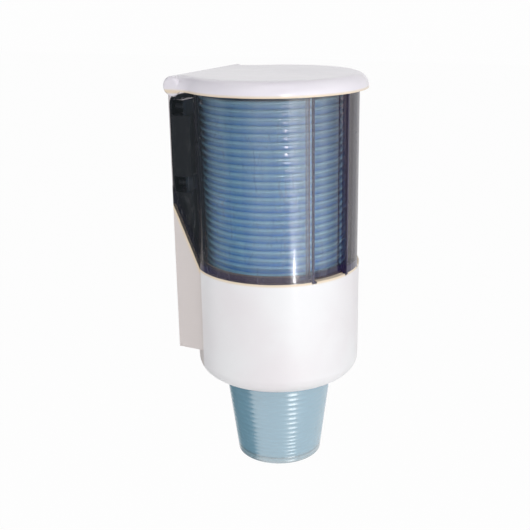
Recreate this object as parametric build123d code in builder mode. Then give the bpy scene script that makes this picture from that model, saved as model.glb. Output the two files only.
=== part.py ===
from build123d import *
import os
from math import acos, asin, cos, degrees, radians, sin, sqrt, tan

# Wall cup dispenser, in millimetres. +Z is up, +Y points into the wall and -Y is the front.
# The origin is the middle of the four wall screws, on the wall plane.

# Cup
cup_rim_radius = 35.15
cup_lip_reach = 1.75
cup_base_share = 0.6174
cup_height = 93.0
cup_wall = 0.25
cup_lip_height = 1.8
cup_lip_rounding = 0.6
cup_floor_rise = 3.0
cup_foot_width = 0.9
cup_pitch = 3.65
cup_count = 27
cup_lean_step = 0.09
cup_showing = 47.0

# Body tube, bowl and cheeks
tube_clearance = 3.35
housing_wall = 2.5
cheek_share = 0.744
bowl_headroom = 11.4
bowl_rounding = 8.0
cheek_drop_share = 0.751
seam_rise_share = 0.3663
seat_gap = 0.1
outlet_clearance = 0.85
flange_thickness = 2.0
flange_clearance = 0.75
web_thickness = 2.0
tongue_height = 3.0
tongue_thickness = 1.5
tongue_clearance = 0.2
tongue_start_angle = 48.0

# Smoked cover
stack_headroom = 2.5
cover_wall = 2.2
cover_overlap = 2.0
channel_recess = 2.9
channel_start_angle = 9.5
channel_end_angle = 38.6
foot_width = 2.3
foot_height = 0.8
foot_clearance = 0.2

# Back plate and wall fixing
plate_thickness = 2.5
plate_inset = 4.5
plate_corner_radius = 4.0
plate_edge_inset = 1.5
tray_flange = 1.2
tray_wall = 1.5
tray_depth = 9.5
tray_clearance = 0.2
tray_gap = 0.4
wall_hole_radius = 2.25
wall_head_radius = 4.2
wall_head_depth = 1.8
wall_hole_spacing_x = 28.0
wall_hole_spacing_z = 50.0

# Screws from behind and the lugs that take them
screw_radius = 1.25
screw_head_radius = 2.4
screw_head_height = 1.2
screw_length = 8.0
screw_sink = 0.2
screw_fit = 0.03
screw_hole_clearance = 0.25
screw_slot_width = 0.5
screw_slot_depth = 0.5
screw_tip_clearance = 0.5
lug_depth = 6.6
lug_half_height = 3.6
lug_width = 10.5
lug_embed = 0.5
housing_lug_shares = (0.232, 0.766)
cover_lug_shares = (0.093, 0.523)

# Lid and its hinge
lid_overhang = 3.5
lid_corner_overhang = 2.8
lid_height = 7.0
lid_wall = 2.0
lid_edge_share = 0.93
lid_ear_rounding = 1.8
lid_waist_share = 0.81
pivot_above_edge = 2.35
lid_rear_gap = 1.0
lid_swing_clearance = 0.4
hinge_pin_radius = 1.1
hinge_pin_fit = 0.05
hinge_pin_press = 0.01
hinge_pin_inset = 0.9
hinge_pin_chamfer = 0.22
hinge_pin_reach = 0.5
hinge_lug_clearance = 0.35

# Finger ring and the ring that keeps it down
finger_count = 16
finger_gap = 3.0
finger_thickness = 0.8
finger_overlap = 1.25
finger_drop = 0.3
ring_thickness = 2.0
ring_edge_clearance = 0.15
ring_bore_clearance = 1.05
ledge_thickness = 2.0
keeper_thickness = 1.8
keeper_bore_clearance = 0.85
barb_count = 4
barb_width = 8.0
barb_depth = 0.7
barb_height = 1.2

# One overrun serves every cut that runs past a face
overrun = 5.0

# The cup sets the tube and the bowl, and the stack sets the cover. The wall screws are halfway up the cover
cup_mouth_radius = cup_rim_radius - cup_lip_reach
cup_base_radius = cup_base_share * cup_rim_radius
tube_radius = cup_rim_radius + tube_clearance + housing_wall
cheek_half_width = cheek_share * tube_radius
bowl_height = cup_height - cup_showing + bowl_headroom
cheek_drop = cheek_drop_share * bowl_height
cover_height = (cup_count - 1) * cup_pitch - bowl_headroom + stack_headroom
seam_rise = seam_rise_share * cover_height

# Places worked out from the sizes above
rear_y = -plate_thickness
axis_y = rear_y - seat_gap - tube_radius
lid_edge_z = cover_height / 2
cover_bottom_z = lid_edge_z - cover_height
cover_top_z = lid_edge_z + cover_overlap
outlet_z = cover_bottom_z - bowl_height
cheek_bottom_z = cover_bottom_z - cheek_drop
seam_top_z = cover_bottom_z + seam_rise
crease_y = axis_y + sqrt(tube_radius**2 - cheek_half_width**2)
bore_radius = tube_radius - housing_wall
outlet_radius = cup_rim_radius + outlet_clearance
flange_bore = cup_rim_radius + flange_clearance
lid_edge_rounding = lid_edge_share * lid_height
barrel_radius = lid_height - pivot_above_edge
pivot_y = -lid_rear_gap - barrel_radius
pivot_z = lid_edge_z + pivot_above_edge
ear_outer = cheek_half_width + lid_corner_overhang
lid_radius = tube_radius + lid_overhang
waist_y = axis_y + sqrt(lid_radius**2 - ear_outer**2)
waist_turn = acos(ear_outer / lid_radius)
lid_waist_radius = lid_waist_share * (pivot_y - waist_y) / tan(waist_turn / 2)
swing_radius = barrel_radius + lid_swing_clearance
plate_half_width = cheek_half_width - plate_inset
tray_half_width = cheek_half_width - housing_wall - tray_clearance
plate_top_z = pivot_z - swing_radius - lid_swing_clearance
plate_bottom_z = cheek_bottom_z + plate_edge_inset

# The lowest cup hangs with about half its height below the outlet
cup_base_z = outlet_z - cup_showing
lowest_rim_z = cup_base_z + cup_height
finger_top_z = lowest_rim_z - cup_lip_height - finger_drop
ring_bottom_z = finger_top_z - ring_thickness
ring_outer = bore_radius - ring_edge_clearance
ring_bore = cup_rim_radius + ring_bore_clearance
finger_tip_radius = cup_rim_radius - finger_overlap
keeper_bore = cup_rim_radius + keeper_bore_clearance

sides = (-1, 1)
front_angle = -90.0
lug_centre_x = cheek_half_width - housing_wall - lug_width / 2 + lug_embed
housing_screw_heights = [cover_bottom_z - share * cheek_drop for share in housing_lug_shares]
cover_screw_heights = [lid_edge_z - share * cover_height for share in cover_lug_shares]
housing_screw_places = [(side * lug_centre_x, height) for height in housing_screw_heights for side in sides]
cover_screw_places = [(side * lug_centre_x, height) for height in cover_screw_heights for side in sides]


def save(name, label):
    """Label a finished piece and write it as one STEP file."""
    name.part.label = label
    export_step(name.part, "parts/" + label + ".step")


os.makedirs("parts", exist_ok=True)

# Back plate: screwed to the wall, it carries the bowl and the cover and lines the cover's cheeks
with BuildPart() as back_plate:
    with BuildSketch(Plane.XZ):
        with Locations((0, (plate_top_z + plate_bottom_z) / 2)):
            RectangleRounded(2 * plate_half_width, plate_top_z - plate_bottom_z, plate_corner_radius)
    extrude(amount=plate_thickness)
    with BuildSketch(Plane.XZ.offset(plate_thickness - tray_flange)):
        with Locations((0, (plate_top_z + plate_bottom_z) / 2)):
            RectangleRounded(2 * tray_half_width, plate_top_z - plate_bottom_z, plate_corner_radius)
    extrude(amount=tray_flange)
    upper_lug_z, lower_lug_z = cover_screw_heights
    tray_spans = (
        (cover_bottom_z + tray_gap, lower_lug_z - lug_half_height - tray_gap),
        (lower_lug_z + lug_half_height + tray_gap, upper_lug_z - lug_half_height - tray_gap),
    )
    with BuildSketch(Plane.XZ.offset(plate_thickness)):
        for low_z, high_z in tray_spans:
            for side in sides:
                with Locations((side * (tray_half_width - tray_wall / 2), (low_z + high_z) / 2)):
                    Rectangle(tray_wall, high_z - low_z)
    extrude(amount=tray_depth)
    with BuildSketch(Plane.XZ):
        with GridLocations(wall_hole_spacing_x, wall_hole_spacing_z, 2, 2):
            Circle(wall_hole_radius)
    extrude(amount=plate_thickness, mode=Mode.SUBTRACT)
    with BuildSketch(Plane.XZ.offset(plate_thickness)):
        with GridLocations(wall_hole_spacing_x, wall_hole_spacing_z, 2, 2):
            Circle(wall_head_radius)
    head_taper = degrees(asin((wall_head_radius - wall_hole_radius) / sqrt(
        (wall_head_radius - wall_hole_radius)**2 + wall_head_depth**2)))
    extrude(amount=-wall_head_depth, taper=head_taper, mode=Mode.SUBTRACT)
    with BuildSketch(Plane.XZ):
        with Locations(*housing_screw_places, *cover_screw_places):
            Circle(screw_radius + screw_hole_clearance)
    extrude(amount=plate_thickness, mode=Mode.SUBTRACT)
    with BuildSketch(Plane.XZ):
        with Locations(*housing_screw_places, *cover_screw_places):
            Circle(screw_head_radius + screw_hole_clearance)
    extrude(amount=screw_head_height + screw_sink + seat_gap, mode=Mode.SUBTRACT)
save(back_plate, "back_plate")

# Lower housing: the white bowl, its two cheeks and the ledges inside it
with BuildPart() as lower_housing:
    with BuildSketch(Plane.XY.offset(outlet_z)):
        with Locations((0, axis_y)):
            Circle(tube_radius)
    extrude(amount=bowl_height)
    fillet(lower_housing.edges().group_by(Axis.Z)[0], bowl_rounding)
    with BuildSketch(Plane.XY.offset(outlet_z + housing_wall)):
        with Locations((0, axis_y)):
            Circle(bore_radius)
    extrude(amount=bowl_height, mode=Mode.SUBTRACT)
    bore_foot = lower_housing.faces().filter_by(Plane.XY).sort_by(Axis.Z)[1]
    fillet(bore_foot.edges(), bowl_rounding - housing_wall)
    with BuildSketch(Plane.XY.offset(outlet_z)):
        with Locations((0, axis_y)):
            Circle(outlet_radius)
    extrude(amount=bowl_height, mode=Mode.SUBTRACT)
    with BuildSketch(Plane.XY.offset(cheek_bottom_z)):
        with Locations((0, (axis_y + rear_y) / 2)):
            Rectangle(2 * cheek_half_width, rear_y - axis_y)
            Rectangle(2 * (cheek_half_width - housing_wall), rear_y - axis_y + overrun, mode=Mode.SUBTRACT)
        with Locations((0, axis_y)):
            Circle(tube_radius - housing_wall / 2, mode=Mode.SUBTRACT)
    extrude(amount=seam_top_z - cheek_bottom_z)
    for web_z in (cheek_bottom_z, cover_bottom_z - web_thickness):
        with BuildSketch(Plane.XY.offset(web_z)):
            with Locations((0, (axis_y + rear_y) / 2)):
                Rectangle(2 * cheek_half_width, rear_y - axis_y)
            with Locations((0, axis_y)):
                Circle(tube_radius - housing_wall / 2, mode=Mode.SUBTRACT)
        extrude(amount=web_thickness)
    for place_x, place_z in housing_screw_places:
        with BuildSketch(Plane.XY.offset(place_z - lug_half_height)):
            with Locations((place_x, rear_y - lug_depth / 2)):
                Rectangle(lug_width, lug_depth)
            with Locations((0, axis_y)):
                Circle(tube_radius - housing_wall / 2, mode=Mode.SUBTRACT)
        extrude(amount=2 * lug_half_height)
    with BuildSketch(Plane.YZ.offset(-tube_radius)):
        with BuildLine():
            Polyline(
                (crease_y - overrun, cover_bottom_z),
                (crease_y, cover_bottom_z),
                (rear_y, seam_top_z),
                (rear_y + overrun, seam_top_z),
                (rear_y + overrun, seam_top_z + overrun),
                (crease_y - overrun, seam_top_z + overrun),
                close=True,
            )
        make_face()
    extrude(amount=2 * tube_radius, mode=Mode.SUBTRACT)
    with BuildSketch(Plane.XY.offset(cover_bottom_z)):
        with Locations((0, axis_y)):
            Circle(tube_radius - housing_wall / 2)
            Circle(flange_bore, mode=Mode.SUBTRACT)
    extrude(amount=-flange_thickness)
    with BuildSketch(Plane.XY.offset(ring_bottom_z)):
        with Locations((0, axis_y)):
            Circle(tube_radius - housing_wall / 2)
            Circle(ring_bore, mode=Mode.SUBTRACT)
    extrude(amount=-ledge_thickness)
    with BuildSketch(Plane.XY.offset(cover_bottom_z - flange_thickness)):
        with Locations((0, axis_y)):
            Circle(tube_radius - cover_wall - tongue_clearance)
            Circle(tube_radius - cover_wall - tongue_clearance - tongue_thickness, mode=Mode.SUBTRACT)
        with BuildLine():
            wedge_reach = tube_radius * tan(radians(tongue_start_angle))
            wedge_y = axis_y - tube_radius
            Polyline((0, axis_y), (wedge_reach, wedge_y), (-wedge_reach, wedge_y), close=True)
        make_face(mode=Mode.SUBTRACT)
    extrude(amount=flange_thickness + tongue_height)
    with BuildSketch(Plane.XY.offset(cover_bottom_z)):
        for angle in (channel_start_angle, channel_end_angle):
            for side in sides:
                foot_angle = radians(front_angle + side * angle)
                foot_radius = tube_radius - cover_wall / 2
                with Locations((foot_radius * cos(foot_angle), axis_y + foot_radius * sin(foot_angle))):
                    Rectangle(
                        cover_wall + housing_wall,
                        foot_width + 2 * foot_clearance,
                        rotation=degrees(foot_angle),
                    )
    extrude(amount=-(foot_height + foot_clearance), mode=Mode.SUBTRACT)
    with BuildSketch(Plane.XZ.offset(plate_thickness)):
        with Locations(*housing_screw_places):
            Circle(screw_radius + screw_fit)
    extrude(amount=screw_length - plate_thickness + screw_sink + screw_tip_clearance, mode=Mode.SUBTRACT)
save(lower_housing, "lower_housing")

# Smoked cover: a see-through U-shaped shell with two recessed channels down its front
with BuildPart() as smoked_cover:
    with BuildSketch(Plane.XY.offset(cover_bottom_z)):
        with Locations((0, axis_y)):
            Circle(tube_radius)
        with Locations((0, (axis_y + rear_y) / 2)):
            Rectangle(2 * cheek_half_width, rear_y - axis_y)
        with Locations((0, axis_y)):
            Circle(tube_radius - cover_wall, mode=Mode.SUBTRACT)
        with Locations((0, (axis_y + rear_y + overrun) / 2)):
            Rectangle(2 * (cheek_half_width - cover_wall), rear_y + overrun - axis_y, mode=Mode.SUBTRACT)
        channel_radius = tube_radius - channel_recess
        wall_angle = degrees(cover_wall / channel_radius)
        channel_span = channel_end_angle - channel_start_angle
        for side in sides:
            first = front_angle + side * channel_start_angle
            last = front_angle + side * channel_end_angle
            with BuildLine():
                outer = CenterArc((0, axis_y), tube_radius + overrun, first, side * channel_span)
                inner = CenterArc((0, axis_y), channel_radius, first, side * channel_span)
                Line(outer @ 0, inner @ 0)
                Line(outer @ 1, inner @ 1)
            make_face(mode=Mode.SUBTRACT)
            with BuildLine():
                first_wall = first - side * wall_angle
                wide_span = channel_span + 2 * wall_angle
                outer = CenterArc((0, axis_y), channel_radius, first_wall, side * wide_span)
                inner = CenterArc((0, axis_y), channel_radius - cover_wall, first_wall, side * wide_span)
                Line(outer @ 0, inner @ 0)
                Line(outer @ 1, inner @ 1)
            make_face()
            for wall_start in (first_wall, last):
                with BuildLine():
                    skin_middle = tube_radius - cover_wall / 2
                    outer = CenterArc((0, axis_y), skin_middle, wall_start, side * wall_angle)
                    inner = CenterArc((0, axis_y), channel_radius - cover_wall, wall_start, side * wall_angle)
                    Line(outer @ 0, inner @ 0)
                    Line(outer @ 1, inner @ 1)
                make_face()
    extrude(amount=cover_top_z - cover_bottom_z)
    with BuildSketch(Plane.XY.offset(cover_bottom_z)):
        for angle in (channel_start_angle, channel_end_angle):
            for side in sides:
                foot_angle = radians(front_angle + side * angle)
                foot_radius = tube_radius - cover_wall / 2
                with Locations((foot_radius * cos(foot_angle), axis_y + foot_radius * sin(foot_angle))):
                    Rectangle(cover_wall - foot_clearance, foot_width, rotation=degrees(foot_angle))
    extrude(amount=-foot_height)
    for place_x, place_z in cover_screw_places:
        with BuildSketch(Plane.XY.offset(place_z - lug_half_height)):
            with Locations((place_x, rear_y - lug_depth / 2)):
                Rectangle(lug_width, lug_depth)
        extrude(amount=2 * lug_half_height)
    with BuildSketch(Plane.YZ.offset(-tube_radius)):
        with BuildLine():
            Polyline(
                (crease_y, cover_bottom_z - overrun),
                (crease_y, cover_bottom_z),
                (rear_y, seam_top_z),
                (rear_y + overrun, seam_top_z),
                (rear_y + overrun, cover_bottom_z - overrun),
                close=True,
            )
        make_face()
    extrude(amount=2 * tube_radius, mode=Mode.SUBTRACT)
    with BuildSketch(Plane.YZ.offset(-tube_radius)):
        with Locations((pivot_y, pivot_z)):
            Circle(swing_radius)
        with Locations((pivot_y - lid_swing_clearance - tube_radius / 2, pivot_z)):
            Rectangle(tube_radius, 2 * tube_radius, mode=Mode.SUBTRACT)
    extrude(amount=2 * tube_radius, mode=Mode.SUBTRACT)
    hinge_lug_radius = barrel_radius - lid_wall - hinge_lug_clearance
    for side in sides:
        with BuildSketch(Plane.YZ.offset(side * cheek_half_width)):
            with Locations((pivot_y, pivot_z)):
                Circle(hinge_lug_radius)
        extrude(amount=-side * cover_wall)
    with BuildSketch(Plane.YZ.offset(-tube_radius)):
        with Locations((pivot_y, pivot_z)):
            Circle(hinge_pin_radius + hinge_pin_fit)
    extrude(amount=2 * tube_radius, mode=Mode.SUBTRACT)
    with BuildSketch(Plane.XZ.offset(plate_thickness)):
        with Locations(*cover_screw_places):
            Circle(screw_radius + screw_fit)
    extrude(amount=screw_length - plate_thickness + screw_sink + screw_tip_clearance, mode=Mode.SUBTRACT)
save(smoked_cover, "smoked_cover")

# Lid barrel: the round rear edge of the lid, coaxial with its hinge pins
with BuildPart() as lid_barrel:
    with BuildSketch(Plane.YZ.offset(-ear_outer)):
        with Locations((pivot_y, pivot_z)):
            Circle(barrel_radius)
    extrude(amount=2 * ear_outer)
    fillet(lid_barrel.edges().filter_by(GeomType.CIRCLE), lid_ear_rounding)

# Lid hollow: the room under the lid, rounded inside as the lid is outside
with BuildPart() as lid_hollow:
    with BuildSketch(Plane.XY.offset(lid_edge_z)):
        with Locations((0, axis_y)):
            Circle(lid_radius - lid_wall)
        with Locations((0, (axis_y + pivot_y) / 2)):
            Rectangle(2 * (ear_outer - lid_wall), pivot_y - axis_y)
        with Locations((0, pivot_y + tube_radius / 2)):
            Rectangle(2 * ear_outer, tube_radius, mode=Mode.SUBTRACT)
    extrude(amount=lid_height - lid_wall)
    roof = lid_hollow.faces().filter_by(Plane.XY).sort_by(Axis.Z)[-1]
    fillet(roof.edges().sort_by(Axis.Y)[:-1], lid_edge_rounding - lid_wall)

# Lid: a white cap whose rear edge rolls round the hinge axis
with BuildPart() as lid:
    with BuildSketch(Plane.XY.offset(lid_edge_z)) as lid_plan:
        with Locations((0, axis_y)):
            Circle(lid_radius)
        with Locations((0, (axis_y + pivot_y) / 2)):
            Rectangle(2 * ear_outer, pivot_y - axis_y)
        waist = [corner for corner in lid_plan.vertices() if axis_y < corner.Y < pivot_y - lid_wall]
        fillet(waist, lid_waist_radius)
        with Locations((0, pivot_y + tube_radius / 2)):
            Rectangle(2 * ear_outer, tube_radius, mode=Mode.SUBTRACT)
    extrude(amount=lid_height)
    cap_top = lid.faces().filter_by(Plane.XY).sort_by(Axis.Z)[-1]
    fillet(cap_top.edges().sort_by(Axis.Y)[:-1], lid_edge_rounding)
    add(lid_barrel.part)
    add(lid_hollow.part, mode=Mode.SUBTRACT)
    with BuildSketch(Plane.YZ.offset(-(ear_outer - lid_wall))):
        with Locations((pivot_y, pivot_z)):
            Circle(barrel_radius - lid_wall)
        with Locations((pivot_y + (barrel_radius + overrun) / 2, pivot_z - (barrel_radius + overrun) / 2)):
            Rectangle(barrel_radius + overrun, barrel_radius + overrun)
        with Locations((pivot_y - barrel_radius / 2, pivot_z - (barrel_radius + overrun) / 2)):
            Rectangle(barrel_radius, barrel_radius + overrun)
    extrude(amount=2 * (ear_outer - lid_wall), mode=Mode.SUBTRACT)
    bore_reach = ear_outer - hinge_pin_inset + hinge_pin_fit
    with BuildSketch(Plane.YZ.offset(-bore_reach)):
        with Locations((pivot_y, pivot_z)):
            Circle(hinge_pin_radius + hinge_pin_press)
    extrude(amount=2 * bore_reach, mode=Mode.SUBTRACT)
save(lid, "lid")

# Hinge pins: one short steel pin at each rear corner of the lid
for side, pin_label in zip(sides, ("lid_hinge_pin_left", "lid_hinge_pin_right")):
    with BuildPart() as hinge_pin:
        with BuildSketch(Plane.YZ.offset(side * (ear_outer - hinge_pin_inset))):
            with Locations((pivot_y, pivot_z)):
                Circle(hinge_pin_radius)
        pin_length = ear_outer - hinge_pin_inset - cheek_half_width + cover_wall + hinge_pin_reach
        extrude(amount=-side * pin_length)
        chamfer(hinge_pin.edges().filter_by(GeomType.CIRCLE), hinge_pin_chamfer)
    save(hinge_pin, pin_label)

# Finger ring: a soft ring whose fingers reach under the rim of the lowest cup
with BuildPart() as finger_ring:
    with BuildSketch(Plane.XY.offset(ring_bottom_z)):
        with Locations((0, axis_y)):
            Circle(ring_outer)
            Circle(ring_bore, mode=Mode.SUBTRACT)
    extrude(amount=ring_thickness)
    with BuildSketch(Plane.XY.offset(finger_top_z)):
        with Locations((0, axis_y)):
            Circle((ring_outer + ring_bore) / 2)
            Circle(finger_tip_radius, mode=Mode.SUBTRACT)
            slot_length = ring_bore - finger_tip_radius + 2 * finger_thickness
            with PolarLocations((ring_bore + finger_tip_radius) / 2, finger_count):
                Rectangle(slot_length, finger_gap, mode=Mode.SUBTRACT)
    extrude(amount=-finger_thickness)
save(finger_ring, "finger_ring")

# Ring keeper: the snap ring that holds the finger ring down on its ledge
with BuildPart() as ring_keeper:
    with BuildSketch(Plane.XY.offset(finger_top_z)):
        with Locations((0, axis_y)):
            Circle(ring_outer)
            Circle(keeper_bore, mode=Mode.SUBTRACT)
    extrude(amount=keeper_thickness)
    with BuildSketch(Plane.XY.offset(finger_top_z)):
        with Locations((0, axis_y)):
            with PolarLocations((ring_outer + keeper_bore) / 2, barb_count, start_angle=180 / barb_count):
                Rectangle((ring_outer - keeper_bore) - barb_depth, barb_width)
    extrude(amount=keeper_thickness + barb_height)
save(ring_keeper, "ring_keeper")

# Screws: two groups of four countersunk screws, driven from behind the back plate
for places, screw_label in ((housing_screw_places, "housing_screws"), (cover_screw_places, "cover_screws")):
    with BuildPart() as screws:
        with BuildSketch(Plane.XZ.offset(screw_sink)):
            with Locations(*places):
                Circle(screw_head_radius)
        screw_taper = degrees(asin((screw_head_radius - screw_radius) / sqrt(
            (screw_head_radius - screw_radius)**2 + screw_head_height**2)))
        extrude(amount=screw_head_height, taper=screw_taper)
        with BuildSketch(Plane.XZ.offset(screw_sink)):
            with Locations(*places):
                Circle(screw_radius)
        extrude(amount=screw_length)
        with BuildSketch(Plane.XZ.offset(screw_sink)):
            with Locations(*places):
                Rectangle(screw_head_radius, screw_slot_width)
                Rectangle(screw_slot_width, screw_head_radius)
        extrude(amount=screw_slot_depth, mode=Mode.SUBTRACT)
    save(screws, screw_label)

# Cups: thin tapered cups with a rolled rim, nested one in the next and leaning towards the wall
mouth_z = cup_height - cup_lip_height
cup_taper = (cup_mouth_radius - cup_base_radius) / mouth_z
floor_top_z = cup_floor_rise + cup_wall
for index in range(cup_count):
    cup_y = axis_y + index * cup_lean_step
    cup_plane = Plane(origin=(0, cup_y, cup_base_z + index * cup_pitch), x_dir=(1, 0, 0), z_dir=(0, -1, 0))
    with BuildPart() as cup:
        with BuildSketch(cup_plane):
            with BuildLine():
                foot = Polyline(
                    (0, floor_top_z),
                    (0, cup_floor_rise),
                    (cup_base_radius - cup_foot_width - cup_wall, cup_floor_rise),
                    (cup_base_radius - cup_foot_width, 0),
                    (cup_base_radius, 0),
                    (cup_mouth_radius, mouth_z),
                    (cup_rim_radius - cup_lip_rounding, mouth_z),
                )
                lip = ThreePointArc(
                    foot @ 1,
                    (cup_rim_radius, mouth_z + cup_lip_height / 2),
                    (cup_rim_radius - cup_lip_rounding, cup_height),
                )
                Polyline(
                    lip @ 1,
                    (cup_base_radius + cup_taper * cup_height - cup_wall, cup_height),
                    (cup_base_radius + cup_taper * floor_top_z - cup_wall, floor_top_z),
                    (0, floor_top_z),
                )
            make_face()
        revolve(axis=Axis((0, cup_y, 0), (0, 0, 1)))
    save(cup, f"cup_{index + 1:02d}")
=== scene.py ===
"""Dressed model of a wall cup dispenser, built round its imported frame.

Every piece is in metres, in the frame of the CAD: +Z is up, +Y points into the wall
and -Y is the front.
"""

import logging
import math
from dataclasses import dataclass
from enum import Enum

import bmesh
import bpy
from mathutils import Matrix, Vector


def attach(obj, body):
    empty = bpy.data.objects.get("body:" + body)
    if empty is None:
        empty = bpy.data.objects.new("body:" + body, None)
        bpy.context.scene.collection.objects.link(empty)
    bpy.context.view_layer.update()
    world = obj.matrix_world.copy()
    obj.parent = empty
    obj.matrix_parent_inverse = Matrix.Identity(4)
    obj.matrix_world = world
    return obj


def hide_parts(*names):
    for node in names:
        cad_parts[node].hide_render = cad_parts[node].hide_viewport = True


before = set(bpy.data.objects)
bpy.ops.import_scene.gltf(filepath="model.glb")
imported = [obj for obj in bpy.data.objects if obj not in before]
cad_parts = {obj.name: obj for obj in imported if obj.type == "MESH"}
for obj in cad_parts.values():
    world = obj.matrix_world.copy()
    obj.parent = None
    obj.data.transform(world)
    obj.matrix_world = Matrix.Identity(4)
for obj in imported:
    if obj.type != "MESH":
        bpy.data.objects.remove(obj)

LOG = logging.getLogger("cup_dispenser")

# Lengths are in metres and angles in degrees.
MM = 0.001
MERGE = 1e-7
CAD_MERGE = 1e-6
ON_AXIS = 1e-9
TUBE_AXIS_Y = -43.6 * MM
FLAT_ANGLE = 0.4
SHARP_ANGLE = 32.0
CUP_SHARP_ANGLE = 40.0

# Values that the meshes carry from point to point.
CUP_SHARE = "up_the_cup"
CUP_NUMBER = "cup_number"
CARD_DEPTH = "depth"

Point = tuple[float, float, float]
Flat = tuple[float, float]
Reach = tuple[float, float]
Colour = tuple[float, float, float]


class Body(Enum):
    """The rigid groups that move as one."""

    HOUSING = "housing"
    LID = "lid"
    LOWEST_CUP = "lowest_cup"
    STACK = "cup_stack"


def seen(red: int, green: int, blue: int) -> Colour:
    """Turn a screen colour into scene light.

    Args:
        red: Red, 0 to 255.
        green: Green, 0 to 255.
        blue: Blue, 0 to 255.

    Returns:
        The same colour as linear values from 0 to 1.
    """
    def linear(value: int) -> float:
        """Undo the screen curve for one channel."""
        share = value / 255
        return share / 12.92 if share <= 0.04045 else ((share + 0.055) / 1.055) ** 2.4

    return linear(red), linear(green), linear(blue)


class Signal:
    """A socket that adds Math nodes when Python operators are used on it."""

    def __init__(self, wiring: "Wiring", socket: bpy.types.NodeSocket) -> None:
        """Wrap one output socket of a tree."""
        self.wiring = wiring
        self.socket = socket

    def math(self, operation: str, *others: "float | Signal") -> "Signal":
        """Add a Math node that starts from this socket.

        Args:
            operation: The Math node's operation.
            *others: Its further values or sockets.

        Returns:
            The result.
        """
        inputs = dict(enumerate((self, *others)))
        return self.wiring.add("ShaderNodeMath", {"operation": operation}, inputs)

    def __add__(self, other: "float | Signal") -> "Signal":
        """Return self + other."""
        return self.math("ADD", other)

    def __radd__(self, other: float) -> "Signal":
        """Return other + self."""
        return self.math("ADD", other)

    def __sub__(self, other: "float | Signal") -> "Signal":
        """Return self - other."""
        return self.math("SUBTRACT", other)

    def __rsub__(self, other: float) -> "Signal":
        """Return other - self."""
        return self.math("MULTIPLY", -1.0).math("ADD", other)

    def __mul__(self, other: "float | Signal") -> "Signal":
        """Return self * other."""
        return self.math("MULTIPLY", other)

    def __rmul__(self, other: float) -> "Signal":
        """Return other * self."""
        return self.math("MULTIPLY", other)

    def __pow__(self, other: float) -> "Signal":
        """Return self to the power of other."""
        return self.math("POWER", other)

    def between(self, low: float, high: float) -> "Signal":
        """Return how far self has come from low to high, smoothly and kept from 0 to 1."""
        inputs = {"Value": self, "From Min": low, "From Max": high}
        settings = {"interpolation_type": "SMOOTHSTEP", "clamp": True}
        return self.wiring.add("ShaderNodeMapRange", settings, inputs)


class Wiring:
    """A node tree that is written with one method, for shaders and for geometry."""

    def __init__(self, tree: bpy.types.NodeTree) -> None:
        """Start from an empty tree."""
        self.tree = tree
        tree.nodes.clear()

    def add(
        self,
        kind: str,
        settings: dict[str, object] | None = None,
        inputs: "dict[str | int, object] | None" = None,
        output: "str | int" = 0,
    ) -> Signal:
        """Add a node.

        Args:
            kind: The node's type.
            settings: What is set on the node first.
            inputs: Values or links of its sockets, by name, identifier or number.
            output: The output to return, by name or number.

        Returns:
            That output.
        """
        node = self.tree.nodes.new(kind)
        for key, value in (settings or {}).items():
            setattr(node, key, value)
        for key, value in (inputs or {}).items():
            self._feed(self._socket(node, key), value)
        return Signal(self, node.outputs[output] if len(node.outputs) else None)

    def ray(self, kind: str) -> Signal:
        """Return 1 on rays of a kind."""
        return self.add("ShaderNodeLightPath", output=kind)

    @staticmethod
    def _socket(node: bpy.types.Node, key: "str | int") -> bpy.types.NodeSocket:
        """Find an input by number, identifier or name."""
        if isinstance(key, int):
            return node.inputs[key]
        for socket in node.inputs:
            if socket.identifier == key:
                return socket
        return node.inputs[key]

    def _feed(self, socket: bpy.types.NodeSocket, value: object) -> None:
        """Link a signal to an input, or set the input's value."""
        if isinstance(value, Signal):
            self.tree.links.new(value.socket, socket)
        elif socket.type == "RGBA" and len(value) == 3:
            socket.default_value = (*value, 1.0)
        else:
            socket.default_value = value


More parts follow.
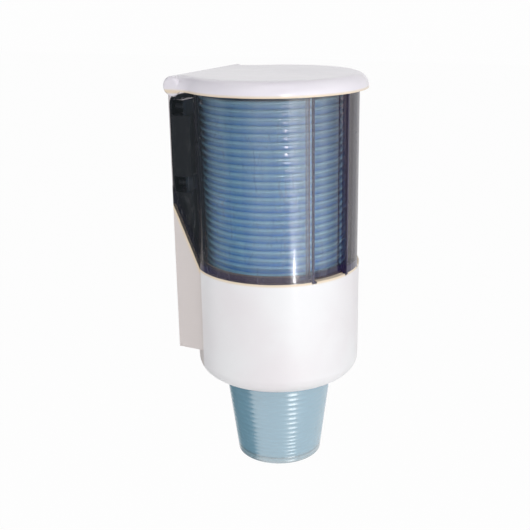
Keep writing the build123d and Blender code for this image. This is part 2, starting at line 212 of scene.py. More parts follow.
class Surface(Wiring):
    """The node tree of one material."""

    MIXED_COLOUR = 2

    def __init__(self, name: str) -> None:
        """Make a material with an empty tree.

        Args:
            name: The material's name.
        """
        self.material = bpy.data.materials.new(name)
        self.material.use_nodes = True
        super().__init__(self.material.node_tree)

    def place(self) -> Signal:
        """Return the piece's own coordinates in metres."""
        return self.add("ShaderNodeTexCoord", output="Object")

    def along(self, place: Signal, axis: str) -> Signal:
        """Return the X, Y or Z value of a place."""
        return self.add("ShaderNodeSeparateXYZ", inputs={0: place}, output=axis)

    def noise(self, place: Signal, scale: float, detail: float, stretch: Point = (1, 1, 1)) -> Signal:
        """Add a noise from 0 to 1.

        Args:
            place: The coordinates that it reads.
            scale: Its spots per metre.
            detail: Its octaves.
            stretch: How much each axis is squeezed.

        Returns:
            The noise value.
        """
        mapped = self.add("ShaderNodeMapping", inputs={"Vector": place, "Scale": stretch})
        return self.add("ShaderNodeTexNoise", inputs={"Vector": mapped, "Scale": scale, "Detail": detail})

    def scratches(self, place: Signal, scale: float, stretch: Point, width: float) -> Signal:
        """Draw thin wandering lines.

        Args:
            place: The coordinates that it reads.
            scale: Lines per metre.
            stretch: How much each axis is squeezed, which draws the lines out.
            width: The share of the noise's range that a line takes.

        Returns:
            1 on the lines and 0 elsewhere.
        """
        level = self.noise(place, scale, 2.0, stretch)
        return (level - 0.5).math("ABSOLUTE").math("LESS_THAN", width)

    def mix(self, share: "float | Signal", first: object, second: object) -> Signal:
        """Blend two colours.

        Args:
            share: How much of the second colour is used.
            first: A colour, or a signal that carries one.
            second: A colour, or a signal that carries one.

        Returns:
            The blended colour.
        """
        inputs = {"Factor_Float": share, "A_Color": first, "B_Color": second}
        return self.add("ShaderNodeMix", {"data_type": "RGBA"}, inputs, output=self.MIXED_COLOUR)

    def bump(self, height: Signal, distance: float) -> Signal:
        """Return a normal that stands up where height does, by distance metres."""
        return self.add("ShaderNodeBump", inputs={"Height": height, "Distance": distance})

    def blend(self, share: "float | Signal", first: Signal, second: Signal) -> Signal:
        """Return a shader that goes from the first to the second as share goes from 0 to 1."""
        return self.add("ShaderNodeMixShader", inputs={0: share, 1: first, 2: second})

    def see_through(self, colour: Colour) -> Signal:
        """Return a shader that lets light pass straight through, in a colour."""
        return self.add("ShaderNodeBsdfTransparent", inputs={"Color": colour})

    def facing(self) -> Signal:
        """Return 0 where the surface faces the eye and 1 at its outline."""
        return self.add("ShaderNodeLayerWeight", inputs={"Blend": 0.5}, output="Facing")

    def kept(self, name: str) -> Signal:
        """Return a value that the mesh carries under a name."""
        return self.add("ShaderNodeAttribute", {"attribute_name": name}, output="Fac")

    def finish(self, shader: Signal) -> bpy.types.Material:
        """Join a shader to the output and return the material."""
        self.add("ShaderNodeOutputMaterial", inputs={"Surface": shader})
        return self.material


@dataclass(frozen=True)
class CoverShape:
    """Where the cover is thick or ends: its lower edge, its screw lugs and its channels' steps.

    Lengths are in metres and angles in degrees. A pair runs from where a mask is 0 to where it is 1.
    """

    steps: Reach = (9.0, 38.9)
    step_reach: Reach = (1.2, 0.3)
    level: float = -43.0 * MM
    crease: float = -16.2 * MM
    wall: float = -2.5 * MM
    rise: float = 31.5 * MM
    steepness: float = 0.6
    seam_reach: Reach = (3.9 * MM, 3.3 * MM)
    brim_reach: Reach = (-1.7 * MM, -0.5 * MM)
    crease_reach: float = 1.5 * MM
    lug_inside: float = 28.2 * MM
    lug_front: float = -12.0 * MM

    def edges(self, s: Surface, place: Signal) -> Signal:
        """Return 1 on the upright steps at both sides of each channel."""
        aside = s.along(place, "X").math("ABSOLUTE")
        turn = aside.math("ARCTAN2", TUBE_AXIS_Y - s.along(place, "Y")) * (180 / math.pi)
        near, far = ((turn - step).math("ABSOLUTE").between(*self.step_reach) for step in self.steps)
        return near.math("MAXIMUM", far)

    def lugs(self, s: Surface, place: Signal) -> Signal:
        """Return 1 on the solid screw lugs, which are thick enough to look dark."""
        inside = s.along(place, "X").math("ABSOLUTE").math("LESS_THAN", self.lug_inside)
        return inside * s.along(place, "Y").math("GREATER_THAN", self.lug_front)

    def above(self, s: Surface, place: Signal) -> Signal:
        """Return the distance above the lower edge, level at the front and steep up the cheeks."""
        climb = (s.along(place, "Y") - self.crease) * (self.rise / (self.wall - self.crease))
        lean = 1.0 - climb.math("GREATER_THAN", 0.0) * self.steepness
        return (s.along(place, "Z") - self.level - climb.math("MAXIMUM", 0.0)) * lean

    def seam(self, s: Surface, place: Signal) -> Signal:
        """Return 1 on the cover's own band along its lower edge."""
        return self.above(s, place).between(*self.seam_reach)

    def front(self, s: Surface, place: Signal) -> Signal:
        """Return 1 on the curved front, which fades to 0 on the cheeks."""
        return s.along(place, "Y").between(self.crease, self.crease - self.crease_reach)

    def brim(self, s: Surface, place: Signal) -> Signal:
        """Return 1 on the housing's edge, just under the cover's."""
        return self.above(s, place).between(*self.brim_reach)


@dataclass(frozen=True)
class GlossWhite:
    """Glossy moulded white plastic with dust, orange peel and a cream band along an edge.

    Its edge has a cream band at the height edge_z, or where the cover's lower edge lies on it. Under the
    cover its cheeks are painted darker and warmer than its front, as painted shade.
    """

    name: str
    colour: Colour
    shade: Colour
    roughness: float = 0.24
    peel: float = 0.000003
    edge_z: float = 1.0
    edge_reach: Reach = (1.5 * MM, 0.2 * MM)
    under: CoverShape | None = None
    dust: Colour = seen(176, 168, 158)
    painted_cheek_shade: Colour = seen(213, 205, 203)
    edge_cream: Colour = seen(228, 208, 176)
    edge_cream_share: float = 0.8

    def build(self) -> bpy.types.Material:
        """Return the material."""
        s = Surface(self.name)
        place = s.place()
        cloud = s.noise(place, 22.0, 4.0).between(0.32, 0.72)
        colour = s.mix(cloud, self.colour, self.shade)
        grime = s.noise(place, 160.0, 6.0).between(0.6, 0.8)
        colour = s.mix(grime * 0.025, colour, self.dust)
        if self.under:
            edge_band = self.under.brim(s, place)
            # Painted shade: the cheeks under the cover are tinted darker and warmer than the front.
            colour = s.mix(1.0 - self.under.front(s, place), colour, self.painted_cheek_shade)
        else:
            edge_band = (s.along(place, "Z") - self.edge_z).math("ABSOLUTE").between(*self.edge_reach)
        colour = s.mix(edge_band * self.edge_cream_share, colour, self.edge_cream)
        wipe = s.noise(place, 60.0, 3.0, (1, 1, 0.18)).between(0.35, 0.75)
        scuff = s.scratches(place, 210.0, (1, 1, 0.12), 0.006)
        peel = s.noise(place, 900.0, 2.0)
        shader = s.add("ShaderNodeBsdfPrincipled", inputs={
            "Base Color": colour,
            "Roughness": wipe * 0.05 + scuff * 0.02 + self.roughness,
            "IOR": 1.49,
            "Coat Weight": 0.08,
            "Coat Roughness": 0.2,
            "Normal": s.bump(peel, self.peel),
        })
        return s.finish(shader)


@dataclass(frozen=True)
class SmokedClear:
    """Clear smoke-tinted plastic: lamps pass freely, the eye sees a tint, and the skin is glossy."""

    name: str
    tint: Colour
    body: Colour
    haze: float
    edge: float
    gloss: float
    shape: CoverShape = CoverShape()
    violet: Colour = seen(36, 28, 66)
    lug_grey: Colour = seen(48, 52, 58)
    seam_share: float = 0.55
    lug_share: float = 0.95
    step_share: float = 0.85
    to_diffuse: float = 0.1
    thickest: float = 0.96

    def build(self) -> bpy.types.Material:
        """Return the material."""
        s = Surface(self.name)
        place = s.place()
        cloud = s.noise(place, 34.0, 4.0, (1, 1, 0.3)).between(0.4, 0.8)
        scuff = s.scratches(place, 150.0, (1, 1, 0.1), 0.004)
        ripple = s.noise(place, 70.0, 2.0, (1, 1, 0.25))
        normal = s.bump(ripple, 0.00004)
        facing = s.facing()
        shown = 1.0 - s.ray("Is Shadow Ray")
        free, tinted = s.see_through((1, 1, 1)), s.see_through(self.tint)
        clear = s.blend(shown, free, tinted)
        lugs, seam, edges = (find(s, place) for find in (self.shape.lugs, self.shape.seam, self.shape.edges))
        colour = s.mix(cloud, self.body, tuple(c * 1.6 for c in self.body))
        violet = (seam * self.shape.front(s, place)).math("MAXIMUM", edges)
        colour = s.mix(violet, colour, self.violet)
        smoke = s.add("ShaderNodeBsdfPrincipled", inputs={
            "Base Color": s.mix(lugs, colour, self.lug_grey),
            "Roughness": cloud * 0.1 + 0.3,
            "Specular IOR Level": 0.15,
            "Normal": normal,
        })
        thick = facing ** 2.0 * self.edge + cloud * 0.02 + scuff * 0.06 + self.haze
        thick = thick + s.ray("Is Diffuse Ray") * self.to_diffuse
        thick = thick + seam * self.seam_share + lugs * self.lug_share + edges * self.step_share
        body = s.blend((thick * shown).math("MINIMUM", self.thickest), clear, smoke)
        shine = s.add("ShaderNodeBsdfGlossy", inputs={
            "Color": (1, 1, 1),
            "Roughness": cloud * 0.06 + scuff * 0.2 + 0.11,
            "Normal": normal,
        })
        mirror = ((facing ** 5.0 * 0.9 + 0.052) * self.gloss + scuff * 0.03) * shown
        return s.finish(s.blend(mirror, body, shine))


@dataclass(frozen=True)
class CupClear:
    """Thin translucent cup plastic: pale where it is single, and deep where rims are nested. Each rim is
    painted paler as painted highlight, and the band below it deeper as painted shade.

    A reach is a pair of shares of the cup's height, from where a mask is 0 to where it is 1. The
    shadow under the rim has two, one where it starts and one where it ends.
    """

    name: str
    light: Colour
    deep: Colour
    wall: Colour
    cover: float
    sheen: float
    rim_reach: Reach = (0.955, 0.985)
    under_rim: tuple[Reach, Reach] = ((0.90, 0.965), (0.975, 0.99))
    wall_reach: Reach = (0.93, 0.80)
    foot_reach: Reach = (0.06, 0.0)
    line_at: float = 0.036
    line_reach: Reach = (0.010, 0.003)
    upper_cups: Reach = (8.0, 27.0)
    upper_tone: Colour = (0.30, 0.50, 0.60)
    foot_tone: Colour = seen(128, 150, 156)
    line_tone: Colour = seen(84, 116, 128)

    def build(self) -> bpy.types.Material:
        """Return the material."""
        s = Surface(self.name)
        place = s.place()
        share, number = s.kept(CUP_SHARE), s.kept(CUP_NUMBER)
        tone = s.add("ShaderNodeTexWhiteNoise", {"noise_dimensions": "1D"}, {"W": number}, output="Value")
        flow = s.noise(place, 240.0, 3.0, (1, 1, 0.08)).between(0.3, 0.7)
        rim = share.between(*self.rim_reach)
        rise, fall = self.under_rim
        under = share.between(*rise) - share.between(*fall)
        # Painted highlight and shade: each cup is pale at its rim and deep below it, partly the depth of the
        # nested plastic.
        colour = s.mix(rim * 0.55 + flow * 0.15 + tone * 0.12, self.deep, self.light)
        colour = s.mix(number.between(*self.upper_cups) * 0.3, colour, self.upper_tone)
        colour = s.mix(under * 0.15, colour, tuple(c * 0.35 for c in self.deep))
        colour = s.mix(share.between(*self.wall_reach), colour, self.wall)
        foot = share.between(*self.foot_reach)
        colour = s.mix(foot * 0.6, colour, self.foot_tone)
        line = (share - self.line_at).math("ABSOLUTE").between(*self.line_reach)
        colour = s.mix(line * 0.6, colour, self.line_tone)
        normal = s.bump(s.noise(place, 420.0, 2.0, (1, 1, 0.05)), 0.00001)
        shader = s.add("ShaderNodeBsdfPrincipled", inputs={
            "Base Color": colour,
            "Roughness": flow * 0.10 + tone * 0.04 + 0.3,
            "IOR": 1.5,
            "Specular IOR Level": 0.2,
            "Coat Weight": rim,
            "Coat Roughness": 0.10,
            "Coat IOR": 2.0,
            "Alpha": (1.0 - foot * 0.25) * self.cover,
            "Normal": normal,
        })
        shine = s.add("ShaderNodeBsdfGlossy", inputs={
            "Color": (1, 1, 1),
            "Roughness": flow * 0.08 + 0.17,
            "Normal": normal,
        })
        return s.finish(s.blend(s.facing() ** 5.0 * 0.3 + self.sheen, shader, shine))


@dataclass(frozen=True)
class MattMoulded:
    """Matt moulded plastic or rubber with a fine spark-eroded grain."""

    name: str
    colour: Colour
    roughness: float
    grain: float
    dust: Colour = seen(150, 146, 140)

    def build(self) -> bpy.types.Material:
        """Return the material."""
        s = Surface(self.name)
        place = s.place()
        cloud = s.noise(place, 30.0, 4.0).between(0.3, 0.7)
        dust = s.noise(place, 110.0, 6.0).between(0.55, 0.8)
        colour = s.mix(cloud * 0.5, self.colour, tuple(c * 1.35 for c in self.colour))
        colour = s.mix(dust * 0.14, colour, self.dust)
        grain = s.noise(place, 2600.0, 2.0)
        shader = s.add("ShaderNodeBsdfPrincipled", inputs={
            "Base Color": colour,
            "Roughness": cloud * 0.12 + dust * 0.10 + self.roughness,
            "IOR": 1.5,
            "Specular IOR Level": 0.1,
            "Normal": s.bump(grain, self.grain),
        })
        return s.finish(shader)


@dataclass(frozen=True)
class PlatedSteel:
    """Turned or plated steel with fine tool lines and small worn spots."""

    name: str
    colour: Colour
    roughness: float
    stretch: Point

    def build(self) -> bpy.types.Material:
        """Return the material."""
        s = Surface(self.name)
        place = s.place()
        lines = s.noise(place, 2400.0, 3.0, self.stretch)
        wear = s.noise(place, 600.0, 4.0).between(0.55, 0.75)
        colour = s.mix(wear * 0.4, self.colour, tuple(c * 0.6 for c in self.colour))
        shader = s.add("ShaderNodeBsdfPrincipled", inputs={
            "Base Color": colour,
            "Metallic": 1.0,
            "Roughness": lines * 0.12 + wear * 0.16 + self.roughness,
            "Normal": s.bump(lines, 0.000008),
        })
        return s.finish(shader)


FINISHES = {
    "white_housing": GlossWhite(
        "white_housing", seen(235, 235, 237), seen(230, 226, 229), roughness=0.42, under=CoverShape()
    ),
    "white_lid": GlossWhite(
        "white_lid", seen(233, 229, 236), seen(226, 221, 230), roughness=0.2, edge_z=43.0 * MM
    ),
    "smoked_plastic": SmokedClear(
        "smoked_plastic", tint=(0.85, 0.82, 0.83), body=seen(20, 17, 32), haze=0.01, edge=1.1, gloss=0.9
    ),
    "cup_plastic": CupClear(
        "cup_plastic", light=(0.42, 0.88, 1.0), deep=(0.11, 0.41, 1.0), wall=seen(124, 172, 196),
        cover=1.0, sheen=0.02,
    ),
    "lowest_cup": CupClear(
        "lowest_cup_plastic", light=seen(140, 188, 208), deep=seen(114, 162, 186), wall=seen(118, 166, 189),
        cover=0.85, sheen=0.25,
    ),
    "charcoal_plastic": MattMoulded("charcoal_plastic", seen(34, 38, 42), roughness=0.55, grain=0.00002),
    "soft_ring": MattMoulded("soft_ring", seen(206, 206, 200), roughness=0.6, grain=0.00001),
    "white_keeper": GlossWhite("white_keeper", seen(228, 228, 230), seen(218, 216, 218), roughness=0.3),
    "steel_pin": PlatedSteel("steel_pin", seen(200, 200, 204), roughness=0.22, stretch=(0.05, 1, 1)),
    "zinc_screw": PlatedSteel("zinc_screw", seen(196, 198, 190), roughness=0.3, stretch=(1, 1, 1)),
}


def placed(name: str, data: bpy.types.ID) -> bpy.types.Object:
    """Return a new object in the scene, round a mesh, a lamp or a camera."""
    thing = bpy.data.objects.new(name, data)
    bpy.context.scene.collection.objects.link(thing)
    return thing


class Workshop:
    """Makes materials once, and turns meshes into pieces that ride on a body."""

    def __init__(self) -> None:
        """Start with no materials."""
        self._materials: dict[str, bpy.types.Material] = {}

    def material(self, finish: str) -> bpy.types.Material:
        """Return the material of a named finish, made on first use."""
        if finish not in self._materials:
            self._materials[finish] = FINISHES[finish].build()
        return self._materials[finish]

    def mesh(self, name: str, points: list[Point], faces: list[tuple[int, ...]]) -> bpy.types.Object:
        """Make an object from points and faces, with doubles merged and faces outward.

        Args:
            name: The object's name.
            points: Its points in metres.
            faces: Its faces as point numbers.

        Returns:
            The object, at the origin.
        """
        data = bpy.data.meshes.new(name)
        data.from_pydata(points, [], faces)
        piece = placed(name, data)
        self.close(piece)
        return piece

    def close(self, piece: bpy.types.Object) -> None:
        """Merge a piece's doubled points and turn its faces outward."""
        work = bmesh.new()
        work.from_mesh(piece.data)
        bmesh.ops.remove_doubles(work, verts=work.verts, dist=MERGE)
        bmesh.ops.recalc_face_normals(work, faces=work.faces)
        work.to_mesh(piece.data)
        work.free()

    def copy_of(self, node: str, name: str) -> bpy.types.Object:
        """Copy a CAD node's mesh into a new, merged piece, in large flat faces."""
        piece = placed(name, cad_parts[node].data.copy())
        work = bmesh.new()
        work.from_mesh(piece.data)
        bmesh.ops.remove_doubles(work, verts=work.verts, dist=CAD_MERGE)
        limit = math.radians(FLAT_ANGLE)
        bmesh.ops.dissolve_limit(work, angle_limit=limit, verts=work.verts, edges=work.edges)
        work.to_mesh(piece.data)
        work.free()
        return piece

    def bake(self, piece: bpy.types.Object) -> None:
        """Turn a piece's modifiers into plain mesh, and remove them."""
        graph = bpy.context.evaluated_depsgraph_get()
        done = bpy.data.meshes.new_from_object(piece.evaluated_get(graph))
        piece.modifiers.clear()
        piece.data = done

    def soften(self, piece: bpy.types.Object, width: float) -> None:
        """Round a piece's sharp edges, then smooth its curved faces.

        Args:
            piece: The piece.
            width: How wide the rounding is, in metres.
        """
        bevel = piece.modifiers.new("edge_rounding", "BEVEL")
        bevel.width = width
        bevel.segments = 2
        bevel.limit_method = "ANGLE"
        bevel.angle_limit = math.radians(SHARP_ANGLE)
        bevel.use_clamp_overlap = True
        self.bake(piece)
        self.smooth(piece)
        even = piece.modifiers.new("even_shading", "WEIGHTED_NORMAL")
        even.mode = "FACE_AREA"
        even.weight = 50
        even.keep_sharp = True
        self.bake(piece)

    def smooth(self, piece: bpy.types.Object, angle: float = SHARP_ANGLE) -> None:
        """Shade a piece's faces smooth, and keep edges sharper than angle degrees."""
        piece.data.shade_smooth()
        piece.data.set_sharp_from_angle(angle=math.radians(angle))

    def hand_over(
        self, piece: bpy.types.Object, body: Body, finish: str, slot: str, nodes: tuple[str, ...] = ()
    ) -> bpy.types.Object:
        """Dress a piece and give it to a body.

        Args:
            piece: The finished mesh.
            body: The body that it rides on.
            finish: The name of its finish.
            slot: The record's material slot. It is not used.
            nodes: The CAD nodes that it stands for.

        Returns:
            The piece.
        """
        piece.data.materials.clear()
        piece.data.materials.append(self.material(finish))
        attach(piece, body.value)
        if nodes:
            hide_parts(*nodes)
        triangles = sum(len(face.vertices) - 2 for face in piece.data.polygons)
        LOG.info("%s on %s: %d triangles", piece.name, body.value, triangles)
        return piece


def ring_point(radius: float, degrees: float, centre: Flat) -> Flat:
    """Return the point at a radius and an angle round a centre."""
    angle = math.radians(degrees)
    return centre[0] + radius * math.cos(angle), centre[1] + radius * math.sin(angle)


def spun(profile: list[Flat], centre: Flat, steps: int) -> tuple[list[Point], list[tuple[int, ...]]]:
    """Spin a closed profile round an upright axis.

    Args:
        profile: Radius and height of each point, in order round the section.
        centre: Where the axis stands.
        steps: How many steps the turn has.

    Returns:
        The points and the faces. Points on the axis are doubled, to be merged.
    """
    points: list[Point] = []
    faces: list[tuple[int, ...]] = []
    count = len(profile)
    for step in range(steps):
        for radius, height in profile:
            x, y = ring_point(radius, 360 * step / steps, centre)
            points.append((x, y, height))
    for step in range(steps):
        here, there = step * count, (step + 1) % steps * count
        for i in range(count):
            j = (i + 1) % count
            if max(profile[i][0], profile[j][0]) > ON_AXIS:
                faces.append((here + i, there + i, there + j, here + j))
    return points, faces


@dataclass
class CupStack:
    """The nested cups: the lowest one that shows below, and those above it."""

    shop: Workshop
    rim_radius: float = 35.15 * MM
    mouth_radius: float = 33.4 * MM
    base_radius: float = 21.7 * MM
    height: float = 93.0 * MM
    lip_height: float = 1.8 * MM
    wall: float = 0.25 * MM
    foot_rise: float = 3.0 * MM
    foot_width: float = 0.9 * MM
    foot_round: float = 0.25 * MM
    rim_step: float = 0.3 * MM
    rib_pitch: float = 2.8 * MM
    rib_depth: float = 0.09 * MM
    close_ribs: int = 6
    close_pitch: float = 0.75
    pitch: float = 3.65 * MM
    lean: float = 0.09 * MM
    count: int = 27
    base_z: float = -147.4 * MM

    def _outer(self, height: float) -> float:
        """Return the outer wall's radius at a height above the base."""
        slope = (self.mouth_radius - self.base_radius) / (self.height - self.lip_height)
        return self.base_radius + slope * height

    def _rib(self, height: float) -> float:
        """Return how far the outer wall stands back from its ribs' crests at a height."""
        near_foot = height <= self.close_ribs * self.rib_pitch
        spacing = self.rib_pitch * (self.close_pitch if near_foot else 1.0)
        wave = 0.5 - 0.5 * math.cos(2 * math.pi * height / spacing)
        return self.rib_depth * (1 - wave ** 2)

    def _profile(self, ribs: bool) -> list[Flat]:
        """Return the cup's section, from the axis out over the rim and back inside.

        Args:
            ribs: Whether the outer wall has its fine level ribs.

        Returns:
            Radius and height of each point.
        """
        top, lip = self.height, self.lip_height
        foot = self.base_radius - self.foot_width
        outline = [(0.0, self.foot_rise), (foot - self.foot_round, self.foot_rise)]
        outline += [(foot, 0.1 * MM), (foot + 0.2 * MM, 0.0)]
        outline += [(self.base_radius - self.foot_round, 0.0), (self.base_radius, self.foot_round)]
        outer_steps, inner_steps = (300, 14) if ribs else (12, 8)
        for i in range(1, outer_steps):
            height = (top - lip) * i / outer_steps
            outline.append((self._outer(height) - (self._rib(height) if ribs else 0.0), height))
        outline.append((self.mouth_radius, top - lip))
        middle, roll = top - lip / 2, lip / 2
        centre = self.rim_radius - roll
        for i in range(7):
            angle = math.radians(-90 + 30 * i)
            outline.append((centre + roll * math.cos(angle), middle + roll * math.sin(angle)))
        outline.append((self._outer(top) - self.wall + self.rim_step, top))
        inside = top - self.rim_step
        for i in range(inner_steps + 1):
            height = inside - (inside - self.foot_rise - self.wall) * i / inner_steps
            outline.append((self._outer(height) - self.wall, height))
        outline.append((0.0, self.foot_rise + self.wall))
        return outline

    def _cup(self, name: str, number: int, ribs: bool, steps: int) -> bpy.types.Object:
        """Make one cup, with the share of its height kept on every point.

        Args:
            name: The piece's name.
            number: How many cups are below it.
            ribs: Whether the outer wall has its fine level ribs.
            steps: How many steps its round has.

        Returns:
            The piece.
        """
        base = self.base_z + number * self.pitch
        centre = (0.0, TUBE_AXIS_Y + number * self.lean)
        profile = [(radius, base + height) for radius, height in self._profile(ribs)]
        piece = self.shop.mesh(name, *spun(profile, centre, steps))
        share = piece.data.attributes.new(CUP_SHARE, "FLOAT", "POINT")
        share.data.foreach_set("value", [(v.co.z - base) / self.height for v in piece.data.vertices])
        self.shop.smooth(piece, CUP_SHARP_ANGLE)
        return piece

    def _stacking(self) -> bpy.types.NodeTree:
        """Return the tree that repeats a cup upward, each one in the last."""
        tree = bpy.data.node_groups.new("cup_stacking", "GeometryNodeTree")
        sockets = {
            "Cup": "NodeSocketGeometry", "Cups": "NodeSocketInt", "Pitch": "NodeSocketFloat",
            "Lean": "NodeSocketFloat", "Finish": "NodeSocketMaterial",
        }
        for name, kind in sockets.items():
            tree.interface.new_socket(name, in_out="INPUT", socket_type=kind)
        tree.interface.new_socket("Stack", in_out="OUTPUT", socket_type="NodeSocketGeometry")
        w = Wiring(tree)
        entry = tree.nodes.new("NodeGroupInput")
        given = {name: Signal(w, entry.outputs[name]) for name in sockets}
        step = w.add("ShaderNodeCombineXYZ", inputs={"Y": given["Lean"], "Z": given["Pitch"]})
        line = w.add("GeometryNodeMeshLine", inputs={"Count": given["Cups"], "Offset": step})
        places = w.add("GeometryNodeInstanceOnPoints", inputs={"Points": line, "Instance": given["Cup"]})
        number = w.add("GeometryNodeInputIndex")
        settings = {"data_type": "FLOAT", "domain": "INSTANCE"}
        named = {"Geometry": places, "Name": CUP_NUMBER, "Value": number}
        counted = w.add("GeometryNodeStoreNamedAttribute", settings, named)
        solid = w.add("GeometryNodeRealizeInstances", inputs={"Geometry": counted})
        dressed = w.add("GeometryNodeSetMaterial", inputs={"Geometry": solid, "Material": given["Finish"]})
        w.add("NodeGroupOutput", inputs={"Stack": dressed})
        return tree

    def build(self) -> list[bpy.types.Object]:
        """Return the lowest cup and the stack above it."""
        lowest = self._cup("lowest_cup_shell", 0, True, 128)
        self.shop.hand_over(lowest, Body.LOWEST_CUP, "lowest_cup", "cup_plastic", ("cup_01",))
        stack = self._cup("nested_cups", 1, False, 80)
        repeat = stack.modifiers.new("stacking", "NODES")
        repeat.node_group = self._stacking()
        keys = {item.name: item.identifier for item in repeat.node_group.interface.items_tree}
        repeat[keys["Cups"]] = self.count - 1
        repeat[keys["Pitch"]] = self.pitch
        repeat[keys["Lean"]] = self.lean
        repeat[keys["Finish"]] = self.shop.material("cup_plastic")
        self.shop.bake(stack)
        self.shop.smooth(stack, CUP_SHARP_ANGLE)
        nodes = tuple(f"cup_{number:02d}" for number in range(2, self.count + 1))
        self.shop.hand_over(stack, Body.STACK, "cup_plastic", "cup_plastic", nodes)
        return [lowest, stack]


@dataclass
class Carcass:
    """The pieces taken over from the frame: their edges are rounded and they get a finish."""

    shop: Workshop

    def build(self) -> list[bpy.types.Object]:
        """Return the dressed copies of the lid, housing, cover, plate, rings, screws and pins."""
        plan = (
            ("lid", "lid_cap", Body.LID, "white_lid", 0.25),
            ("lower_housing", "bowl_and_cheeks", Body.HOUSING, "white_housing", 0.25),
            ("smoked_cover", "cover_shell", Body.HOUSING, "smoked_plastic", 0.25),
            ("back_plate", "wall_plate", Body.HOUSING, "charcoal_plastic", 0.3),
            ("finger_ring", "soft_finger_ring", Body.HOUSING, "soft_ring", 0.0),
            ("ring_keeper", "snap_keeper", Body.HOUSING, "white_keeper", 0.15),
            ("housing_screws", "screws_of_housing", Body.HOUSING, "zinc_screw", 0.0),
            ("cover_screws", "screws_of_cover", Body.HOUSING, "zinc_screw", 0.0),
            ("lid_hinge_pin_left", "pin_left", Body.LID, "steel_pin", 0.0),
            ("lid_hinge_pin_right", "pin_right", Body.LID, "steel_pin", 0.0),
        )
        made = []
        for node, name, body, finish, rounding in plan:
            piece = self.shop.copy_of(node, name)
            if rounding:
                self.shop.soften(piece, rounding * MM)
            else:
                self.shop.smooth(piece)
            made.append(self.shop.hand_over(piece, body, finish, finish, (node,)))
        return made


def turned(first: Vector, second: Vector, angle: float) -> tuple[Vector, Vector]:
    """Turn two square directions in their own plane, the first toward the second.

    Args:
        first: A direction.
        second: The direction square to it.
        angle: The turn in radians.

    Returns:
        Both directions after the turn.
    """
    c, s = math.cos(angle), math.sin(angle)
    return first * c + second * s, second * c - first * s


@dataclass(frozen=True)
class Lamp:
    """A soft rectangular lamp that faces the tube.

    Its azimuth is 0 at the front and 90 on the right, in degrees like its elevation. Its reach is its
    distance and its size its width and height, in metres. Its power is in watts.
    """

    name: str
    azimuth: float
    elevation: float
    reach: float
    size: Flat
    power: float

    def hang(self) -> None:
        """Put the lamp into the scene."""
        data = bpy.data.lights.new(self.name, "AREA")
        data.shape = "RECTANGLE"
        data.size, data.size_y = self.size
        data.energy = self.power
        lamp = placed(self.name, data)
        a, e = math.radians(self.azimuth), math.radians(self.elevation)
        away = Vector((math.sin(a) * math.cos(e), -math.cos(a) * math.cos(e), math.sin(e)))
        lamp.location = Vector((0, TUBE_AXIS_Y, 0)) + away * self.reach
        lamp.rotation_euler = (-away).to_track_quat("-Z", "Y").to_euler()


LAMPS = (
    Lamp("key_window", -28.0, 5.0, 0.55, (0.38, 0.62), 1.16),
    Lamp("key_low", -32.0, -35.0, 0.62, (0.16, 0.22), 0.24),
    Lamp("side_window", 6.0, 0.0, 0.55, (0.13, 0.62), 0.22),
    Lamp("flash", -41.0, -21.8, 0.59, (0.015, 0.045), 0.15),
    Lamp("right_fill", 35.0, 25.0, 1.6, (0.9, 0.9), 0.3),
    Lamp("left_fill", -150.0, -10.0, 1.2, (0.7, 0.7), 4.4),
    Lamp("top_fill", -60.0, 75.0, 1.4, (0.8, 0.8), 2.4),
    Lamp("upper_left_fill", -100.0, 42.0, 1.2, (0.5, 0.5), 1.2),
    Lamp("glint", -52.0, 14.0, 0.55, (0.02, 0.02), 0.5),
)


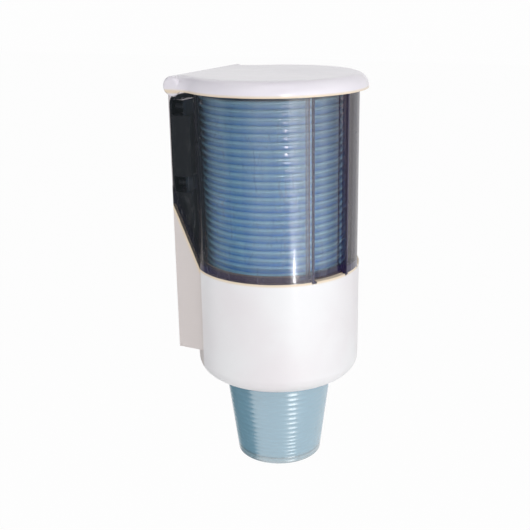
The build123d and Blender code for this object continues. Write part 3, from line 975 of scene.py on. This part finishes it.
@dataclass
class Studio:
    """The camera, the white surround, the pale floor, the dark card and the lamps."""

    camera_at: Point = (-0.3898, -0.2387, 0.0925)
    turn: float = 63.41
    pan: float = -0.83
    pitch: float = 17.64
    roll: float = -0.92
    focal_pixels: float = 901.8
    frame_pixels: float = 530.0
    sensor_width: float = 36.0
    surround_shown: float = 0.986
    surround_light: float = 0.40
    floor_z: float = -0.50
    floor_reach: float = 6.0
    floor_colour: Colour = (0.86, 0.86, 0.86)
    floor_shown: float = 0.97
    card_colour: Colour = (0.10, 0.14, 0.16)
    card_start: Point = (-0.278, 0.069, 0.0)
    card_run: Point = (0.268, 0.187, 0.0)
    card_columns: tuple[Point, ...] = ((-0.75, 0.3, 0.0), (0.3, 0.32, 1.0), (2.9, 2.9, 1.0))
    card_heights: tuple[float, ...] = (0.5, -0.17, -0.21, -0.49)

    def _camera(self) -> None:
        """Stand the camera where the photograph was taken from."""
        data = bpy.data.cameras.new("photo_camera")
        data.sensor_width = self.sensor_width
        data.lens = self.focal_pixels / self.frame_pixels * data.sensor_width
        data.clip_start = 0.01
        camera = placed("photo_camera", data)
        turn, pan, pitch, roll = map(math.radians, (self.turn, self.pan, self.pitch, self.roll))
        ahead = Vector((math.sin(turn), math.cos(turn), 0))
        right = Vector((math.cos(turn), -math.sin(turn), 0))
        above = Vector((0, 0, 1))
        ahead, right = turned(ahead, right, pan)
        above, ahead = turned(above, ahead, pitch)
        right, above = turned(right, above, roll)
        axes = Matrix((right, above, -ahead)).transposed().to_4x4()
        camera.matrix_world = Matrix.Translation(self.camera_at) @ axes
        bpy.context.scene.camera = camera

    def _background_share(self, w: Wiring) -> Signal:
        """Return 1 on rays that show the background: to the camera, off gloss, and through clear plastic."""
        shares = [w.ray(kind) for kind in ("Is Camera Ray", "Is Glossy Ray", "Is Transmission Ray")]
        return shares[0].math("MAXIMUM", shares[1]).math("MAXIMUM", shares[2])

    def _surround(self) -> None:
        """Light the scene softly from all round, with a white background."""
        world = bpy.data.worlds.new("white_surround")
        world.use_nodes = True
        bpy.context.scene.world = world
        w = Wiring(world.node_tree)
        more = self.surround_shown - self.surround_light
        strength = self._background_share(w) * more + self.surround_light
        sky = w.add("ShaderNodeBackground", inputs={"Color": (1, 1, 1), "Strength": strength})
        w.add("ShaderNodeOutputWorld", inputs={"Surface": sky})

    def _dark_card(self) -> None:
        """Stand a dark card behind on the left, which only shows in gloss and fades at its upper edge.

        A column holds how far along the run its upper and its lower half stand, and how dark its upper
        half is. The heights go from the card's top to its foot.
        """
        s = Surface("dark_card")
        gone = s.see_through((1, 1, 1))
        dark = s.add("ShaderNodeEmission", inputs={"Color": self.card_colour, "Strength": 1.0})
        share = s.ray("Is Glossy Ray") * s.kept(CARD_DEPTH)
        material = s.finish(s.blend(share, gone, dark))
        start, run = Vector(self.card_start), Vector(self.card_run)
        corners, depths = [], []
        for upper, lower, depth in self.card_columns:
            for row, height in enumerate(self.card_heights):
                corners.append(start + run * (upper if row < 2 else lower) + Vector((0, 0, height)))
                depths.append(depth if row < 2 else 1.0)
        rows = len(self.card_heights)
        faces = [
            (rows * c + r, rows * c + r + 1, rows * (c + 1) + r + 1, rows * (c + 1) + r)
            for c in range(len(self.card_columns) - 1) for r in range(rows - 1)
        ]
        card = self._sheet("dark_card", corners, faces, material)
        card.data.attributes.new(CARD_DEPTH, "FLOAT", "POINT").data.foreach_set("value", depths)

    def _floor(self) -> None:
        """Lay the plain pale floor."""
        s = Surface("pale_floor")
        pale = s.add("ShaderNodeBsdfDiffuse", inputs={"Color": self.floor_colour})
        white = s.add("ShaderNodeEmission", inputs={"Color": (1, 1, 1), "Strength": 1.0})
        material = s.finish(s.blend(self._background_share(s) * self.floor_shown, pale, white))
        turns = ((-1, -1), (1, -1), (1, 1), (-1, 1))
        corners = [Vector((x * self.floor_reach, y * self.floor_reach, self.floor_z)) for x, y in turns]
        floor = self._sheet("floor", corners, [(0, 1, 2, 3)], material)

    def _sheet(
        self, name: str, corners: list[Vector], faces: list[tuple[int, ...]], material: bpy.types.Material
    ) -> bpy.types.Object:
        """Make a thin sheet.

        Args:
            name: Its name.
            corners: Its points in metres.
            faces: Its faces as point numbers.
            material: Its material.

        Returns:
            The sheet.
        """
        data = bpy.data.meshes.new(name)
        data.from_pydata(corners, [], faces)
        data.materials.append(material)
        return placed(name, data)

    def build(self) -> None:
        """Set the stage."""
        self._camera()
        self._surround()
        self._floor()
        self._dark_card()
        for lamp in LAMPS:
            lamp.hang()
        bpy.context.scene.view_settings.view_transform = "Standard"
        bpy.context.scene.cycles.transparent_max_bounces = 32


def main() -> None:
    """Build every sub-assembly in order, log its pieces and triangles, and set the stage."""
    logging.basicConfig(level=logging.INFO, format="%(name)s: %(message)s")
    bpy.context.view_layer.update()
    shop = Workshop()
    for part in (CupStack(shop), Carcass(shop)):
        made = part.build()
        LOG.info("%s has %d pieces", type(part).__name__, len(made))
    Studio().build()


if __name__ == "__main__":
    main()
